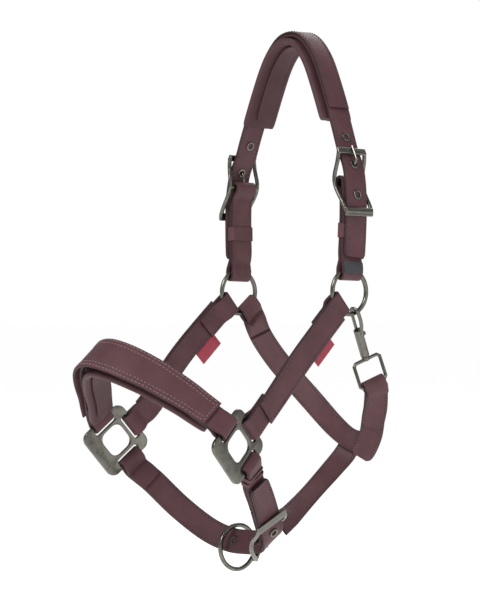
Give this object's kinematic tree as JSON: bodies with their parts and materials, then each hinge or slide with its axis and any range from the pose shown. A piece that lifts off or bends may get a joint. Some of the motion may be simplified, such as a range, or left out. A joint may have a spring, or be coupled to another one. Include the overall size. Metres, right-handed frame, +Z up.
{
  "type": "leather headcollar",
  "caption": "Leather headcollar with a padded crown and noseband, halter squares, side rings, buckles, a chin ring and a trigger snap at the throat.",
  "frame": {"origin": "underside of the poll cushion at the top of the crown, where it rests on the horse's poll", "axes": "+Z up, -Y the way the horse faces, +X the horse's left, its near side"},
  "size_m": [0.1933, 0.2905, 0.4843],
  "materials": {
    "strap": "brown satin leather",
    "pad": "soft dark brown leather over foam",
    "tab": "crimson woven tab, blank",
    "label": "dark woven label, blank",
    "metal": "gunmetal plating",
    "spring": "bright spring wire"
  },
  "bodies": {
    "crown": {"crown_overlay": "strap", "crown_pad": "pad", "crown_strap": "strap", "far_crown_buckle": "metal", "far_crown_chape": "strap", "far_crown_eyelet_1": "metal", "far_crown_eyelet_2": "metal", "far_crown_eyelet_3": "metal", "far_ring": "metal", "near_crown_buckle": "metal", "near_crown_chape": "strap", "near_crown_eyelet_1": "metal", "near_crown_eyelet_2": "metal", "near_crown_eyelet_3": "metal", "near_ring": "metal", "poll_cushion": "pad", "size_label": "label"},
    "lower_headstall": {"chin_buckle": "metal", "chin_chape": "strap", "chin_eyelet_1": "metal", "chin_eyelet_2": "metal", "chin_eyelet_3": "metal", "chin_strap": "strap", "far_cheek_overlay": "strap", "far_cheek_strap": "strap", "far_halter_square": "metal", "far_side_tab": "tab", "far_throat_strap": "strap", "jaw_strap": "strap", "near_cheek_overlay": "strap", "near_cheek_strap": "strap", "near_halter_square": "metal", "near_side_tab": "tab", "near_throat_strap": "strap", "noseband_cushion": "pad", "noseband_overlay": "strap", "noseband_pad": "pad", "noseband_strap": "strap", "snap_eye": "metal"},
    "near_tongue": {"near_crown_tongue": "metal"},
    "far_tongue": {"far_crown_tongue": "metal"},
    "chin_tongue_pin": {"chin_tongue": "metal"},
    "lead_ring_body": {"lead_ring": "metal"},
    "snap": {"snap_body": "metal", "snap_spring": "spring"},
    "bolt": {"snap_bolt": "metal"}
  },
  "joints": [
    {"name": "headstall_swing", "type": "hinge", "parent": "crown", "child": "lower_headstall", "pos_m": [0, -0.006, -0.2206], "axis": [1, 0, 0], "range_deg": [-15, 15]},
    {"name": "near_tongue_lift", "type": "hinge", "parent": "crown", "child": "near_tongue", "pos_m": [0.07316, -0.0034, -0.12371], "axis": [0.0055, 0.9996, -0.0287], "range_deg": [0, 3]},
    {"name": "far_tongue_lift", "type": "hinge", "parent": "crown", "child": "far_tongue", "pos_m": [-0.07316, -0.0034, -0.12371], "axis": [0.0055, -0.9996, 0.0287], "range_deg": [0, 3]},
    {"name": "chin_tongue_lift", "type": "hinge", "parent": "lower_headstall", "child": "chin_tongue_pin", "pos_m": [0.04318, -0.07523, -0.43138], "axis": [-0.0716, -0.7921, -0.6061], "range_deg": [0, 3]},
    {"name": "lead_ring_swing", "type": "hinge", "parent": "lower_headstall", "child": "lead_ring_body", "pos_m": [-0.009, -0.0625, -0.43266], "axis": [0, 1, 0], "range_deg": [-20, 20]},
    {"name": "snap_swivel", "type": "hinge", "parent": "lower_headstall", "child": "snap", "pos_m": [0.07089, 0.00971, -0.25406], "axis": [-0.1996, 0.499, -0.8433], "range_deg": [-6, 6]},
    {"name": "bolt_slide", "type": "slide", "parent": "snap", "child": "bolt", "axis": [-0.1996, 0.499, -0.8433], "range_m": [0, 0.006], "stiffness_N_per_m": 400, "springref_m": -0.003, "deforming": ["snap_spring"]}
  ]
}
